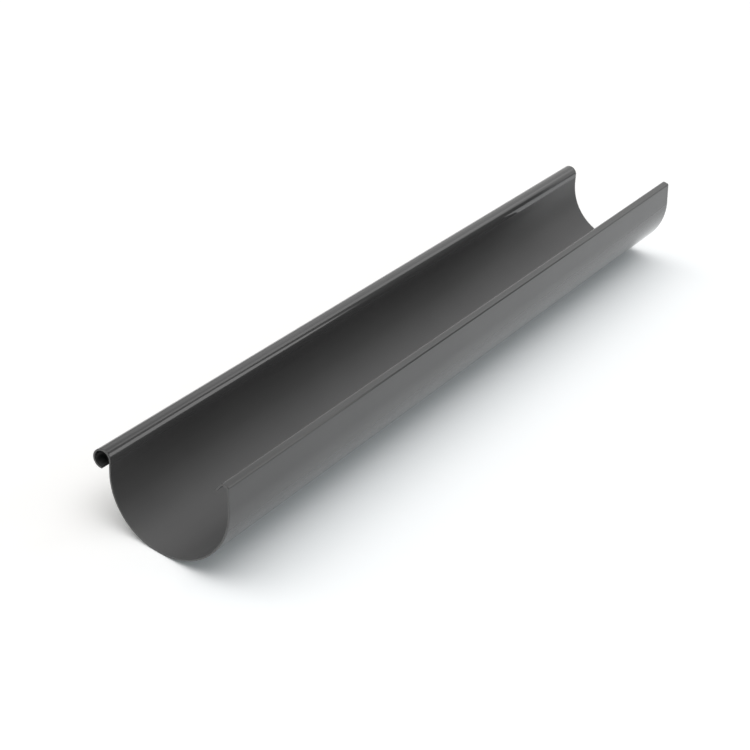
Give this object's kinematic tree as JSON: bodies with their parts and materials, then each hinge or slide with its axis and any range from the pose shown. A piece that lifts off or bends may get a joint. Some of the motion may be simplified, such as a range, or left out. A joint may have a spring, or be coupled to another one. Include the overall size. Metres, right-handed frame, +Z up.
{
  "type": "gutter section",
  "caption": "Half-round roof gutter section in graphite plastic, with a rolled bead along its front edge and a lip folded into the trough along its rear edge.",
  "frame": {"origin": "mid length, on the line along the underside of the half-round that the gutter rests on", "axes": "+X along the gutter, -Y towards the rolled bead at the front, +Y towards the folded lip at the rear, +Z up out of the trough. The gutter lies unheld, with its section tipped 13.4 degrees about the trough's axis towards the heavier bead. Fitted on a roof, it is turned back by as much, and then its rear wall is plumb."},
  "size_m": [0.915, 0.1428, 0.0994],
  "materials": {
    "gutter_plastic": "satin graphite, coloured right through the wall"
  },
  "bodies": {
    "root": {"gutter": "gutter_plastic"}
  },
  "joints": []
}
